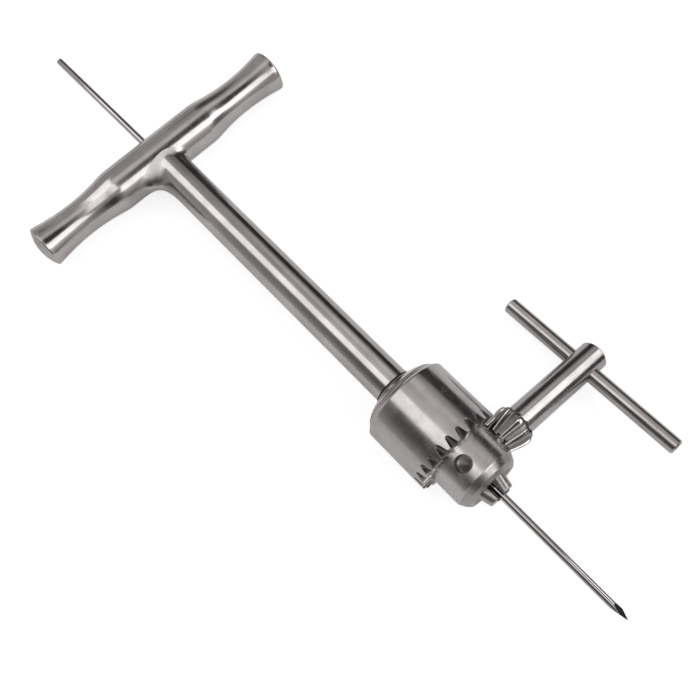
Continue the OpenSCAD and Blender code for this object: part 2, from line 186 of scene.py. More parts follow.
# %% [markdown]
# An area lamp sends its light from a rectangle, so its edge in the steel is the edge of the
# rectangle. Each lamp is set by the direction it stands in, its size at one distance and how
# bright its face is, which makes it easy to move a highlight: the lamp goes where the
# highlight's reflection points.

# %% Lamps
LAMP_DISTANCE = 1.4
DRILL_MIDDLE = Vector((0.07, 0.0, 0.0))


def soft_lamp(name, direction, size, glow):
    """Add an area lamp that faces the drill's middle, one side as near along X as it can be.

    Its power is pi times its area times the glow of its face."""
    away = Vector(direction).normalized()
    side = (Vector((1, 0, 0)) - away * away.x).normalized()
    turn = Matrix((side, away.cross(side), away)).transposed().to_4x4()
    data = bpy.data.lights.new(name, "AREA")
    data.shape = "RECTANGLE"
    data.size, data.size_y = size
    data.energy = math.pi * size[0] * size[1] * glow
    lamp = bpy.data.objects.new(name, data)
    lamp.matrix_world = Matrix.Translation(DRILL_MIDDLE + away * LAMP_DISTANCE) @ turn
    lamp.visible_camera = False
    bpy.context.scene.collection.objects.link(lamp)
    print(f"{name}: {data.energy:.2f} W")


soft_lamp("lamp_overhead", (-0.40, -0.315, 0.86), (1.0, 0.76), glow=1.22)
soft_lamp("lamp_top", (0.22, -0.14, 0.97), (0.9, 0.32), glow=1.0)
soft_lamp("lamp_point_side", (0.66, 0.28, 0.69), (0.70, 0.80), glow=1.55)
soft_lamp("lamp_far_side", (0.41, 0.64, 0.65), (1.05, 0.46), glow=1.7)

# %% [markdown]
# ## The floor
#
# The drill lies on a pale sheet. It rests on its chuck, its key and one end of the crossbar,
# so in the drill's own frame the sheet is a little tilted. A diffuse sheet shows a soft shadow.
# In the picture the sheet is nearly white and the shadow faint, so for the camera half of the
# sheet's own shade is swapped for a plain white glow. Gloss sees a little of that glow too.

# %% Floor
FLOOR_LEVEL = -0.00867
FLOOR_RISE_X, FLOOR_RISE_Y = -0.0532, 0.023
PAPER, PAPER_SEEN = (0.92, 0.92, 0.92), (0.46, 0.46, 0.46)


def pale_floor(reach=3.0):
    """A square sheet through z = level + rise_x * x + rise_y * y."""
    corner = np.array([[-1, -1], [1, -1], [1, 1], [-1, 1]]) * reach
    height = FLOOR_LEVEL + corner @ np.array([FLOOR_RISE_X, FLOOR_RISE_Y])
    mesh = bpy.data.meshes.new("floor")
    mesh.from_pydata(np.column_stack([corner, height]).tolist(), [], [(0, 1, 2, 3)])
    sheet = bpy.data.objects.new("floor", mesh)
    bpy.context.scene.collection.objects.link(sheet)
    return sheet


def floor_paper(direct_glow=0.8, gloss_glow=0.1):
    """Diffuse paper plus a glow, both set by the kind of ray that looks at it."""
    paper = bpy.data.materials.new("floor_paper")
    paper.use_nodes = True
    tree = paper.node_tree
    tree.nodes.clear()
    path = add_node(tree, "LightPath").outputs
    direct = total(tree, "MAXIMUM", path["Is Camera Ray"], path["Is Transmission Ray"])
    shade = blend(tree, direct, PAPER, PAPER_SEEN)
    glow = total(tree, "ADD", total(tree, "MULTIPLY", direct, direct_glow),
                 total(tree, "MULTIPLY", path["Is Glossy Ray"], gloss_glow))
    diffuse = add_node(tree, "BsdfDiffuse", {"Color": shade})
    white = add_node(tree, "Emission", {"Strength": glow})
    both = add_node(tree, "AddShader", {0: diffuse.outputs[0], 1: white.outputs[0]})
    add_node(tree, "OutputMaterial", {0: both.outputs[0]})
    return paper


floor = pale_floor()
floor.data.materials.append(floor_paper())
print("floor height under the crossbar:", FLOOR_LEVEL)

# %% [markdown]
# ## Steel
#
# All the steels here are one recipe with different numbers. The marks of the tool that made a
# surface are noise squeezed along one direction: on a turned piece they are rings, so the
# noise is short along the axis and long across it, and on a drawn bar it is the other way
# round. A Mapping node in texture mode turns and scales the place, so each mark's length and
# width are plain sizes in metres. Some places get a painted shade, or on the weld a painted
# light, in a second colour: the gaps between teeth, for one. A piece made here marks them in
# an attribute of its own. A CAD node has no such attribute, so there a place along the drill
# axis can say where the shading is painted.

# %% Marks and painted shading
BAND_EDGE = 0.0002


def axis_turn(axis):
    """Euler angles that turn the X axis onto the given axis."""
    return tuple(Vector((1, 0, 0)).rotation_difference(Vector(axis)).to_euler())


def noise(tree, place, size, turn, at, detail=3.0):
    """A noise whose pattern is size metres long along its own turned X, Y and Z."""
    sockets = {"Vector": place, "Location": at, "Rotation": turn, "Scale": size}
    local = add_node(tree, "Mapping", sockets, vector_type="TEXTURE").outputs[0]
    return add_node(tree, "TexNoise", {"Vector": local, "Scale": 1, "Detail": detail}).outputs[0]


def cut_share(tree, place, band):
    """1 where shading is painted: by the attribute, or outside a band along X if one is given."""
    if band is None:
        return add_node(tree, "Attribute", attribute_name="cut").outputs["Fac"]
    middle, half = band
    x = add_node(tree, "SeparateXYZ", {0: place}).outputs[0]
    away = total(tree, "ABSOLUTE", total(tree, "SUBTRACT", x, middle))
    return ramp(tree, away, half, half + BAND_EDGE)


# %% [markdown]
# The base colour is that of bare stainless steel, slightly warm. The marks move the roughness
# and a bump of about a micron. A broad noise adds the cloudy patches that handling leaves, a
# finer one adds smears, and thin scratches lie across it all. Where shading is painted, a
# second colour is mixed in and the steel is rougher: a painted shade darkens the sleeve's tooth
# gaps, the flats of the pinion's teeth, the jaws' ground flats, the wire's point, the collar's
# joint and groove and the chuck body outside its nose, and on the weld's top a painted light
# goes with a real matte finish. A picture of scratches could be laid on instead, but noise has
# no seams and needs no unwrapping.

# %% Steel recipe
CLOUD_SIZE, CLOUD_EDGE = (0.011, 0.008, 0.008), (0.35, 0.65)
SMEAR_SIZE, SMEAR_EDGE = (0.0035, 0.0022, 0.0022), (0.55, 0.75)
SCRATCH_SIZE, SCRATCH_EDGE = (0.00012, 0.012, 0.012), (0.70, 0.76)
SCRATCH_AXIS, SCRATCH_DEPTH = (0.8, 0.5, 0.33), 0.8
# As multiples of patch: how much darker the dull colour is, and the share of it in a smear
DULLING, SMEARING = 2.4, 3
# Where a noise begins and ends to act, and the shares of the roughness there
MARKS_ROUGH, SMEAR_ROUGH = (0.3, 0.7, 0.75, 1.3), (0.35, 0.7, 0.85, 1.25)


def steel(name, colour, roughness, marks, depth, axis=(1, 0, 0), at=(0, 0, 0), patch=0.06,
          cut=None, cut_rough=0.15, band=None):
    """Bare steel with marks of the given length along and across the axis.

    Base colour = colour, mixed with colour * (1 - 2.4 * patch) by the cloud and the smears.
    Roughness = roughness * (0.75 to 1.3 by the marks) * (0.85 to 1.25 by the smears).
    Height = depth * (marks - 0.8 * scratches). Where shading is painted, by its share, the
    base colour is mixed with the painted colour, and the extra roughness is added."""
    material = bpy.data.materials.new(name)
    material.use_nodes = True
    tree = material.node_tree
    surface = tree.nodes["Principled BSDF"]
    place = add_node(tree, "TexCoord").outputs["Object"]
    turn = axis_turn(axis)
    along, across = marks
    fine = noise(tree, place, (along, across, across), turn, at, detail=4)
    cloud = noise(tree, place, CLOUD_SIZE, turn, at)
    smear = noise(tree, place, SMEAR_SIZE, turn, at, detail=5)
    scratch = noise(tree, place, SCRATCH_SIZE, axis_turn(SCRATCH_AXIS), at, detail=1)
    scratch = ramp(tree, scratch, *SCRATCH_EDGE)
    dull = [c * (1 - DULLING * patch) for c in colour]
    base = blend(tree, ramp(tree, cloud, *CLOUD_EDGE), dull, colour)
    smeared = total(tree, "MULTIPLY", ramp(tree, smear, *SMEAR_EDGE), patch * SMEARING)
    base = blend(tree, smeared, base, dull)
    rough = total(tree, "MULTIPLY", ramp(tree, fine, *MARKS_ROUGH, soft=False),
                  ramp(tree, smear, *SMEAR_ROUGH))
    rough = total(tree, "MULTIPLY", rough, roughness)
    # Painted shading: a second colour for painted shade or painted light, with extra roughness, where
    # the share says.
    if cut:
        here = cut_share(tree, place, band)
        base = blend(tree, here, base, cut)
        rough = total(tree, "ADD", rough, total(tree, "MULTIPLY", here, cut_rough))
    height = total(tree, "SUBTRACT", fine, total(tree, "MULTIPLY", scratch, SCRATCH_DEPTH))
    bump = add_node(tree, "Bump", {"Height": height, "Strength": 1, "Distance": depth})
    tree.links.new(base, surface.inputs["Base Color"])
    tree.links.new(rough, surface.inputs["Roughness"])
    tree.links.new(bump.outputs[0], surface.inputs["Normal"])
    surface.inputs["Metallic"].default_value = 1
    print(f"{name}: roughness {roughness}, marks {along / MM:g} by {across / MM:g} mm")
    return material


# %% [markdown]
# The drill axis is X and the crossbar lies along Y. The key leans a little from Y, so its
# marks are turned to its own axis, and the tommy bar's to its own. The shaft and the handle
# are polished satin, the chuck is finely turned, the key is plated bright, the jaws are
# ground and darker, and the wire and the tommy bar are drawn, with marks along them. The
# chuck body outside the nose, its bevels in front and its rear, gets a painted shade darker
# than the nose, in place of the dark that the bevels reflect. One steel for everything would
# be quicker, but the pieces would run together.

# %% Finishes
KEY_ROLL = math.radians(-10.6)
KEY_AXIS = np.array([0, math.cos(KEY_ROLL), math.sin(KEY_ROLL)])
KEY_SIDE = np.array([0, math.sin(KEY_ROLL), -math.cos(KEY_ROLL)])
DRILL_AXIS, BAR_AXIS = np.array([1.0, 0, 0]), (0, 1, 0)
TOMMY_AXIS, TOMMY_K = (0.998971, 0.008345, 0.044589), 50
PILOT_X = 149.4
KEY_AT = (PILOT_X * MM, 0, 0)
TOMMY_AT = tuple((PILOT_X * DRILL_AXIS + TOMMY_K * KEY_AXIS) * MM)
# Outside this band, on the chuck body's bevels and rear, the steel gets a painted shade.
NOSE_BAND = (0.1475, 0.0078)  # its middle along X and half its length
RINGS, LINES = (0.0001, 0.004), (0.009, 0.00015)
BELT_LINES, GRAINS = (0.003, 0.00015), (0.003, 0.003)
MICRON = 0.000001
SATIN = (0.52, 0.499, 0.493)

satin_rings = steel("satin_steel", SATIN, 0.15, RINGS, 0.8 * MICRON)
satin_bar = steel("satin_bar_steel", SATIN, 0.15, RINGS, 0.8 * MICRON, axis=BAR_AXIS)
satin_cap = steel("satin_cap_steel", (0.48, 0.458, 0.45), 0.32, BELT_LINES, 1.5 * MICRON, axis=BAR_AXIS)
# The weld's second colour, paler than steel, is a painted light on its matte top patch.
weld_steel = steel("weld_steel", SATIN, 0.2, GRAINS, 0.3 * MICRON,
                   cut=(0.84, 0.82, 0.82), cut_rough=0.36)
# The sleeve's second colour is the painted shade in its tooth gaps.
chuck_sleeve = steel("chuck_sleeve_steel", (0.49, 0.47, 0.465), 0.19, RINGS, 0.8 * MICRON,
                     cut=(0.20, 0.190, 0.188))
# The nose steel's second colour is a painted shade outside the nose band.
chuck_nose = steel("chuck_nose_steel", (0.54, 0.517, 0.515), 0.27, RINGS, 0.8 * MICRON,
                   cut=(0.385, 0.368, 0.367), cut_rough=0.03, band=NOSE_BAND)
# The collar's second colour is the painted shade in its joint and groove.
chuck_collar = steel("chuck_collar_steel", (0.60, 0.57, 0.562), 0.16, RINGS, 0.5 * MICRON,
                     cut=(0.02, 0.018, 0.018))
# The pinion's second colour is the painted shade on the flats of its teeth.
pinion_steel = steel("pinion_steel", (0.54, 0.523, 0.52), 0.14, RINGS, 0.8 * MICRON,
                     axis=KEY_AXIS, at=KEY_AT, cut=(0.16, 0.154, 0.154))
stem_steel = steel("stem_steel", (0.48, 0.46, 0.458), 0.17, RINGS, 0.8 * MICRON,
                   axis=KEY_AXIS, at=KEY_AT)
tommy_steel = steel("tommy_steel", (0.44, 0.42, 0.412), 0.16, LINES, 1.0 * MICRON,
                    axis=TOMMY_AXIS, at=TOMMY_AT)
# The jaws' second colour is the painted shade on their ground flats.
jaw_steel = steel("jaw_steel", (0.50, 0.478, 0.473), 0.28, LINES, 0.5 * MICRON,
                  cut=(0.03, 0.028, 0.028))
# The wire's second colour is the painted shade on the facets of its point.
wire_steel = steel("wire_steel", (0.58, 0.565, 0.56), 0.06, LINES, 0.3 * MICRON,
                   cut=(0.02, 0.02, 0.02))

# %% [markdown]
# Each CAD node takes its finish by name. Those that a piece below replaces have one as well,
# so that no plain solid is left if a piece is taken out while trying things.

# %% CAD nodes get their finishes
FINISH = {
    "crossbar": satin_bar, "end_cap_left": satin_cap, "end_cap_right": satin_cap,
    "shaft_tube": satin_rings, "weld_fillet": satin_rings, "chuck_body": chuck_nose,
    "gear_sleeve": chuck_sleeve, "nut_half_upper": chuck_nose, "nut_half_lower": chuck_nose,
    "jaw_1": jaw_steel, "jaw_2": jaw_steel, "jaw_3": jaw_steel, "guide_wire": wire_steel,
    "key_pilot": pinion_steel, "key_pinion": pinion_steel, "key_stem": stem_steel,
    "tommy_bar": tommy_steel,
}
for name, material in FINISH.items():
    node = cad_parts[name]
    node.data.materials.clear()
    node.data.materials.append(material)
print("finished CAD nodes:", len(FINISH))

# %% [markdown]
# ## Surfaces from grids
#
# Some pieces deserve softer edges than the CAD model has: the teeth, the jaws, the wire's
# point, the handle's swelling and the weld. Bevel modifiers could round them, but a surface
# worked out with numpy has its rounding where a formula says. A point of it depends on a row,
# which goes along the piece, and a column, which goes round it, so the whole surface is one
# array. The helper below turns such an array into a mesh. Columns close on themselves, and
# the two ends close either onto each other, for a ring, or each onto one middle point.

# %% Grid helper
CREASE = 40


def skin(name, points, body, replaces, material, ring=False, cut=None, crease=CREASE):
    """A closed mesh from points of shape (rows, columns, 3) in millimetres, facing outward.

    Rows go along the piece and columns round it, counterclockwise seen from the far end.
    With ring the last row joins the first; without it each end gets a fan of triangles."""
    rows, cols = points.shape[:2]
    r = np.arange(rows if ring else rows - 1)[:, None]
    c = np.arange(cols)[None, :]
    here, up = r * cols, (r + 1) % rows * cols
    quads = np.stack([here + c, here + (c + 1) % cols, up + (c + 1) % cols, up + c], -1).reshape(-1, 4)
    verts = points.reshape(-1, 3) * MM
    loops, sizes = quads.ravel(), np.full(len(quads), 4)
    if not ring:
        count = rows * cols
        column, ahead = np.arange(cols), (np.arange(cols) + 1) % cols
        first = np.stack([ahead, column, np.full(cols, count)], -1)
        last = np.stack([column, ahead, np.full(cols, count + 1)], -1)
        last[:, :2] += count - cols
        verts = np.vstack([verts, points[0].mean(0) * MM, points[-1].mean(0) * MM])
        loops = np.concatenate([loops, first.ravel(), last.ravel()])
        sizes = np.concatenate([sizes, np.full(2 * cols, 3)])
    mesh = bpy.data.meshes.new(name)
    mesh.vertices.add(len(verts))
    mesh.vertices.foreach_set("co", verts.ravel())
    mesh.loops.add(len(loops))
    mesh.loops.foreach_set("vertex_index", loops.astype(np.int32))
    mesh.polygons.add(len(sizes))
    starts = np.concatenate([[0], np.cumsum(sizes)[:-1]])
    mesh.polygons.foreach_set("loop_start", starts.astype(np.int32))
    mesh.update(calc_edges=True)
    mesh.validate()
    mesh.polygons.foreach_set("use_smooth", np.ones(len(mesh.polygons), bool))
    mesh.set_sharp_from_angle(angle=math.radians(crease))
    # The share of painted shading goes into a point attribute for the material to read.
    if cut is not None:
        values = np.zeros(len(verts), np.float32)
        values[: rows * cols] = cut.ravel()
        mesh.attributes.new("cut", "FLOAT", "POINT").data.foreach_set("value", values)
    piece = bpy.data.objects.new(name, mesh)
    bpy.context.scene.collection.objects.link(piece)
    piece.data.materials.append(material)
    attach(piece, body)
    if replaces:
        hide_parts(*replaces)
    print(f"{name}: {len(mesh.polygons)} faces")
    return piece


# %% [markdown]
# Four short formulas serve nearly every surface below: a minimum whose corner is rounded, a
# step that rises smoothly, the angles of the columns, and points set round the drill axis.


# %% Short formulas
def soft_min(a, b, width):
    """The smaller of a and b, with the corner between them rounded over the width."""
    near = np.maximum(width - np.abs(a - b), 0)
    return np.minimum(a, b) - near**2 / (4 * width)


def smooth(t):
    """0 below 0, 1 above 1 and the smoothstep curve 3t^2 - 2t^3 between them."""
    t = np.clip(t, 0, 1)
    return t * t * (3 - 2 * t)


def around(columns):
    """The angles of a number of columns, evenly spaced round a whole turn."""
    return np.arange(columns) * 2 * math.pi / columns


def around_x(x, radius, angle):
    """Points at x, radius and angle about the drill axis, the angle going from +Y toward +Z."""
    x, radius, angle = np.broadcast_arrays(x, radius, angle)
    return np.stack([x, radius * np.cos(angle), radius * np.sin(angle)], -1)


# %% [markdown]
# ## The gear sleeve
#
# The sleeve is the part that the key turns. Its front edge has 24 tooth gaps, each a straight
# groove with a round bottom that runs out as it goes inward. One could cut 24 grooves with
# booleans, but the cut edges would then need bevels of their own. Here the front of the sleeve
# is a height field instead: at each radius and angle the surface lies at the lower of two
# heights, the flat front and the groove, and a soft minimum rounds the edge between them. The
# same field says where a painted shade darkens the gaps, more the deeper they go.

# %% Tooth gaps
SLEEVE_R, SLEEVE_X1, NOSE_R = 15.0, 144.6, 10.9
GAPS, GAP_DEPTH = 24, 3.45
GAP_PHASE = KEY_ROLL + math.radians(5)
EDGE_SOFT = 0.16  # width over which a gap's edge is rounded


def groove_height(offset, bottom=0.8, lean=math.radians(19)):
    """Height of a groove's wall over its floor line: an arc, then a wall that leans outward."""
    t = np.abs(offset)
    knee = bottom * math.cos(lean)
    arc = bottom - np.sqrt(np.maximum(bottom**2 - np.minimum(t, knee) ** 2, 0))
    return np.where(t < knee, arc, bottom * (1 - math.sin(lean)) + (t - knee) / math.tan(lean))


def sleeve_front(radius, angle):
    """Place along X of the sleeve's front: the lower of the flat face and the nearest groove."""
    pitch = 2 * math.pi / GAPS
    turn = (angle - GAP_PHASE + pitch / 2) % pitch - pitch / 2
    run = SLEEVE_R - NOSE_R
    slope = GAP_DEPTH / run
    floor_x = SLEEVE_X1 - GAP_DEPTH + (SLEEVE_R - radius * np.cos(turn)) * slope
    wall = groove_height(radius * np.sin(turn)) * math.hypot(1, slope)
    return soft_min(floor_x + wall, SLEEVE_X1, EDGE_SOFT)


# %% [markdown]
# The rest of the sleeve is turned, so its rows are plain circles: the bore, the rear chamfer
# and the outside come before the front, and the lip and the step after it. Rows lie closest
# together at the rims, where the surface bends most.

# %% Gear sleeve
SLEEVE_BORE_R, SLEEVE_LIP_R = 13.6, 11.0
SLEEVE_X0, SLEEVE_LIP_X, SLEEVE_STEP_X = 120.8, 144.0, 139.75
# How deep and how wide the rounding of the front's rim is
RIM_DROP, RIM_WIDTH = 0.06, 0.2
# How deep in a gap its painted shade begins, and over what depth it grows to full
GAP_SHADE_FROM, GAP_SHADE_FADE = 0.12, 0.4


def sleeve_surface(columns_per_gap=40):
    """The sleeve's ring: bore, rear chamfer, outside, front field, lip and step, in that order."""
    angle = around(GAPS * columns_per_gap)
    bore = [(x, SLEEVE_BORE_R) for x in (136, 124, 120.95)]
    chamfer = [(SLEEVE_X0, 13.66), (120.83, 13.8), (121.75, 14.86), (121.95, 14.97)]
    outside = [(x, SLEEVE_R) for x in (122.2, 128, 134, 139, 140.6)]
    front_edge = sleeve_front(SLEEVE_R, angle)
    rows = [around_x(x, r, angle) for x, r in bore + chamfer + outside]
    rows += [around_x(front_edge - drop, SLEEVE_R - inset, angle)
             for drop, inset in ((0.5, 0), (0.16, 0), (0.06, 0.015))]
    cut = [np.zeros_like(angle)] * len(rows)
    inward = np.concatenate([[0.05, 0.14, 0.3], np.linspace(0.5, 3.9, 22), [3.98, 4.0]])
    for inset in inward:
        x = sleeve_front(SLEEVE_R - inset, angle) - RIM_DROP * (1 - smooth(inset / RIM_WIDTH))
        rows.append(around_x(x, SLEEVE_R - inset, angle))
        # Painted shade in the gaps, darker the deeper they lie below the front face.
        cut.append(smooth((SLEEVE_X1 - x - GAP_SHADE_FROM) / GAP_SHADE_FADE))
    lip = [(SLEEVE_LIP_X, SLEEVE_LIP_R), (SLEEVE_STEP_X, SLEEVE_LIP_R), (SLEEVE_STEP_X, SLEEVE_BORE_R)]
    rows += [around_x(x, r, angle) for x, r in lip]
    cut += [np.zeros_like(angle)] * len(lip)
    return np.array(rows), np.array(cut)


points, cut = sleeve_surface()
skin("sleeve_with_teeth", points, "sleeve", ["gear_sleeve"], chuck_sleeve,
     ring=True, cut=cut)

# %% [markdown]
# ## The pinion
#
# The key ends in a small bevelled pinion with ten teeth. Its lines run nearly to one point, as
# on any bevel gear, so a tooth keeps almost the same angle while its width grows from the
# small end to the large one. That makes the surface simple: the radius goes from the root to
# the tip by one curve of the angle, steep at the root and round at the tip. Past the middle,
# teeth and gaps bend in toward the stem in one large dome. The narrow flat on each tooth gets
# a painted shade, darker than the edges beside it, in place of the dark that it reflects.

# %% Pinion teeth
PINION_TEETH = 10
PINION_K0, PINION_K1 = 11.25, 18.85
PINION_PHASE = math.radians(210)
# Half angles of a gap's floor and of its mouth, in degrees, and how much each narrows
FLANK_FOOT, FLANK_TOP = (7.6, 0.6), (12.4, 0.9)
# Radii at the small end, and how much each grows to the large one
TOOTH_TIP, TOOTH_ROOT, PINION_MAX_R = (4.8, 2.3), (3.45, 1.6), 6.8
ROOT_BEND = (0.35, 0.65)
# Where the painted shade on a tooth's flat begins and fades in, and how strong it is
FLAT_FROM, FLAT_FADE, FLAT_PAINTED_SHADE = 0.92, 0.05, 0.9


def around_key(k, radius, angle):
    """Points at k along the key from the drill axis, at a radius and angle about the key's axis."""
    k, radius, angle = np.broadcast_arrays(k, radius, angle)
    outward = np.cos(angle)[..., None] * DRILL_AXIS + np.sin(angle)[..., None] * KEY_SIDE
    return PILOT_X * DRILL_AXIS + k[..., None] * KEY_AXIS + radius[..., None] * outward


def tooth_rise(angle, k):
    """0 in a gap's floor, 1 on a tooth's top: 1 - (1 - s)^2 as s goes up the flank."""
    pitch = 2 * math.pi / PINION_TEETH
    turn = np.abs((angle - PINION_PHASE + pitch / 2) % pitch - pitch / 2)
    along = (k - PINION_K0) / (PINION_K1 - PINION_K0)
    foot = np.radians(FLANK_FOOT[0] - FLANK_FOOT[1] * along)
    top = np.radians(FLANK_TOP[0] - FLANK_TOP[1] * along)
    return 1 - (1 - np.clip((turn - foot) / (top - foot), 0, 1)) ** 2


def tooth_row(k, share, angle):
    """One row of the teeth, and the painted shade on its flats: root + (tip - root) * rise.

    Share is how much of their radius the tips keep. The roots keep more of theirs, and
    neither passes the largest radius."""
    along = (k - PINION_K0) / (PINION_K1 - PINION_K0)
    tip = (TOOTH_TIP[0] + TOOTH_TIP[1] * along) * share
    root = (TOOTH_ROOT[0] + TOOTH_ROOT[1] * along) * (ROOT_BEND[0] + ROOT_BEND[1] * share)
    rise = tooth_rise(angle, min(k, PINION_K1))
    radius = np.minimum(root + np.maximum(tip - root, 0) * rise, PINION_MAX_R)
    return around_key(k, radius, angle), FLAT_PAINTED_SHADE * smooth((rise - FLAT_FROM) / FLAT_FADE)


# %% [markdown]
# The bore and the seat of the stem are turned, so their rows are circles. Between them the
# rows go over the small end, along the cone of the teeth and round the dome. There the place
# and the share that the tips keep follow a quarter of an ellipse.

# %% Pinion
PINION_K2 = 20.35
BEND_K, BEND_LEN, BEND_SHARE = 16.4, 3.95, (0.72, 0.28)


def pinion_surface(columns_per_tooth=44):
    """The pinion's ring: bore, small end, tooth cone, dome over the large end, seat of the stem."""
    angle = around(PINION_TEETH * columns_per_tooth)
    plain = np.zeros_like(angle)
    bore = [(20.3, 3.25), (16, 3.25), (15, 2.78), (11.3, 2.78), (PINION_K0, 2.85)]
    small_end = [(PINION_K0, 0.82), (PINION_K0, 0.96), (11.31, 0.99), (11.45, 1.0)]
    cone = [(k, 1.0) for k in np.linspace(12, BEND_K, 12)]
    dome = [(BEND_K + BEND_LEN * math.sin(a), BEND_SHARE[0] + BEND_SHARE[1] * math.cos(a))
            for a in np.linspace(0.05, 1.52, 24)]
    seat = [(PINION_K2, 4.6), (PINION_K2, 3.4)]
    rows = [(around_key(k, r, angle), plain) for k, r in bore]
    rows += [tooth_row(k, share, angle) for k, share in small_end + cone + dome]
    rows += [(around_key(k, r, angle), plain) for k, r in seat]
    return np.array([row for row, dark in rows]), np.array([dark for row, dark in rows])


points, cut = pinion_surface()
skin("pinion_with_teeth", points, "key", ["key_pinion"], pinion_steel,
     ring=True, cut=cut)

# %% [markdown]
# ## The jaws
#
# A jaw is a round bar on the slant, ground to a wedge whose edge lies along the wire. In a
# plane across the drill its outline is an ellipse cut by two straight lines. Seen from a point
# inside, each of these three gives a distance in every direction, and the soft minimum of the
# three is the outline, with its corners already rounded. The jaw's tip is rounded by pulling
# the outline in over the last quarter millimetre. The two ground flats face the wire and get a
# painted shade, so an attribute marks where a flat, and not the bar, gave the outline.

# %% Jaws
TIP_X, JAW_TIP_R, JAW_R = 162.3, 1.9, 2.6
JAW_ANGLE = math.radians(14.5)
WIRE_R = 1.2
JAW_EDGE_R = WIRE_R + 0.02
JAW_TIP_ROWS, JAW_ROW, JAW_LEN = [0, 0.015, 0.05, 0.1, 0.17, 0.26, 0.4, 0.7], 0.35, 28.3
HALF_WEDGE = math.radians(60)
JAW_CORNER, FLAT_EDGE, TIP_ROUND = 0.12, 0.2, 0.26
TIP_SHARE = (0.35, 0.65)  # shares of the tip's rounding: on every side, and more on the outer one
RACK_PITCH, RACK_DEPTH, RACK_FROM, RACK_PHASE, NOTCH_HALF = 1.6, 0.45, 17, 28.2, 0.5


def jaw_surface(roll, columns=120):
    """One jaw, from its rear end to its tip, and where its ground flats get a painted shade.

    Distance to the ellipse: the root of a quadratic. Distance to each plane: its offset over
    the cosine of the direction to its normal. Radius = soft minimum of the three, drawn in at
    the tip, most on its outer side, and lowered at the notches of the rack."""
    back = np.concatenate([JAW_TIP_ROWS, np.arange(1, JAW_LEN + 0.01, JAW_ROW)])[::-1, None]
    angle = around(columns)
    axis_r = JAW_TIP_R + back * math.tan(JAW_ANGLE)
    half_r, half_t = JAW_R / math.cos(JAW_ANGLE), JAW_R
    inner = np.maximum(JAW_EDGE_R, axis_r - half_r)
    centre = (inner + axis_r + half_r) / 2
    dr, dt = np.cos(angle), np.sin(angle)
    a = (dr / half_r) ** 2 + (dt / half_t) ** 2
    b = (centre - axis_r) * dr / half_r**2
    c = ((centre - axis_r) / half_r) ** 2 - 1
    radius = (-b + np.sqrt(b**2 - a * c)) / a
    reach = (centre - JAW_EDGE_R) * math.sin(HALF_WEDGE)
    ground = np.zeros_like(radius)
    for side in (1, -1):
        toward = -dr * math.sin(HALF_WEDGE) + side * dt * math.cos(HALF_WEDGE)
        flat = np.where(toward > 1e-3, reach / np.maximum(toward, 1e-3), 99)
        # Painted shade on the two ground flats, which face the wire.
        ground = np.maximum(ground, smooth(0.5 + (radius - flat) / FLAT_EDGE))
        radius = soft_min(radius, flat, JAW_CORNER)
    drawn_in = TIP_ROUND * (1 - np.sqrt(1 - (1 - np.clip(back / TIP_ROUND, 0, 1)) ** 2))
    outer = smooth(0.5 + 0.8 * dr)
    radius = radius - drawn_in * (TIP_SHARE[0] + TIP_SHARE[1] * outer)
    from_notch = np.abs((back / math.cos(JAW_ANGLE) - RACK_PHASE) % RACK_PITCH - RACK_PITCH / 2)
    notch = smooth(1 - from_notch / NOTCH_HALF) * smooth((back - RACK_FROM) / NOTCH_HALF)
    rack = (axis_r + half_r - RACK_DEPTH * notch - centre) / np.maximum(dr, 0.05)
    radius = np.minimum(radius, rack)
    r, t = centre + radius * dr, radius * dt
    y = r * math.cos(roll) - t * math.sin(roll)
    z = r * math.sin(roll) + t * math.cos(roll)
    return np.stack([TIP_X - back + 0 * r, y, z], -1), ground


for number in (1, 2, 3):
    roll = KEY_ROLL + math.radians(60 + 120 * (number - 1))
    name = f"jaw_{number}"
    points, cut = jaw_surface(roll)
    skin(f"ground_{name}", points, name, [name], jaw_steel, cut=cut)

# %% [markdown]
# ## The wire
#
# The wire is drawn steel with a three-sided point. It is held only by the jaws, and behind
# them it lies loosely in a wide bore, so its rear end leans a little to the near side. Its
# radius is the smaller of its own and the distance to three slanted planes, and its middle
# line bends by the square of the distance behind the jaws.

# %% Wire
WIRE_X0, WIRE_X1, POINT_LEN = -58.2, 209.8, 5.8
WIRE_LEAN, JAWS_BACK_X = 1.3, 150.0
POINT_ROLL, FACET_TURN = math.radians(70), 2 * math.pi / 3
RIM_X, RIM_R = WIRE_X0 + np.array([0, 0.04, 0.15]), [1.02, 1.14, WIRE_R]
FACET_EDGE = 0.03


def wire_surface(columns=48):
    """Radius = min(wire radius, offset of the nearest facet / cosine of the turn from its middle).

    The second result says where the facets are, which get a painted shade."""
    x = np.concatenate([RIM_X, np.linspace(-57.5, 200, 80), np.linspace(200.4, 209.7, 60),
                        [209.79]])[:, None]
    angle = around(columns)
    turn = (angle - POINT_ROLL + FACET_TURN / 2) % FACET_TURN - FACET_TURN / 2
    facet = (WIRE_X1 - x) * WIRE_R / POINT_LEN / np.cos(turn)
    radius = np.minimum(np.interp(x, RIM_X, RIM_R), facet)
    lean = -WIRE_LEAN * (np.maximum(JAWS_BACK_X - x, 0) / (JAWS_BACK_X - WIRE_X0)) ** 2
    # Painted shade on the point's facets.
    ground = smooth((WIRE_R - radius) / FACET_EDGE) * (x > JAWS_BACK_X)
    return np.stack([np.broadcast_to(x, radius.shape), radius * np.cos(angle) + lean,
                     radius * np.sin(angle)], -1), ground


points, cut = wire_surface()
skin("drawn_wire", points, "wire", ["guide_wire"], wire_steel, cut=cut, crease=25)

# %% [markdown]
# ## The crossbar
#
# The handle is a tube turned to a thick middle, two waists and two thick ends. Its outline is
# worked out as a radius for each place along Y: a soft minimum joins the middle to the waists
# without a hard line, as the polisher's belt leaves it.

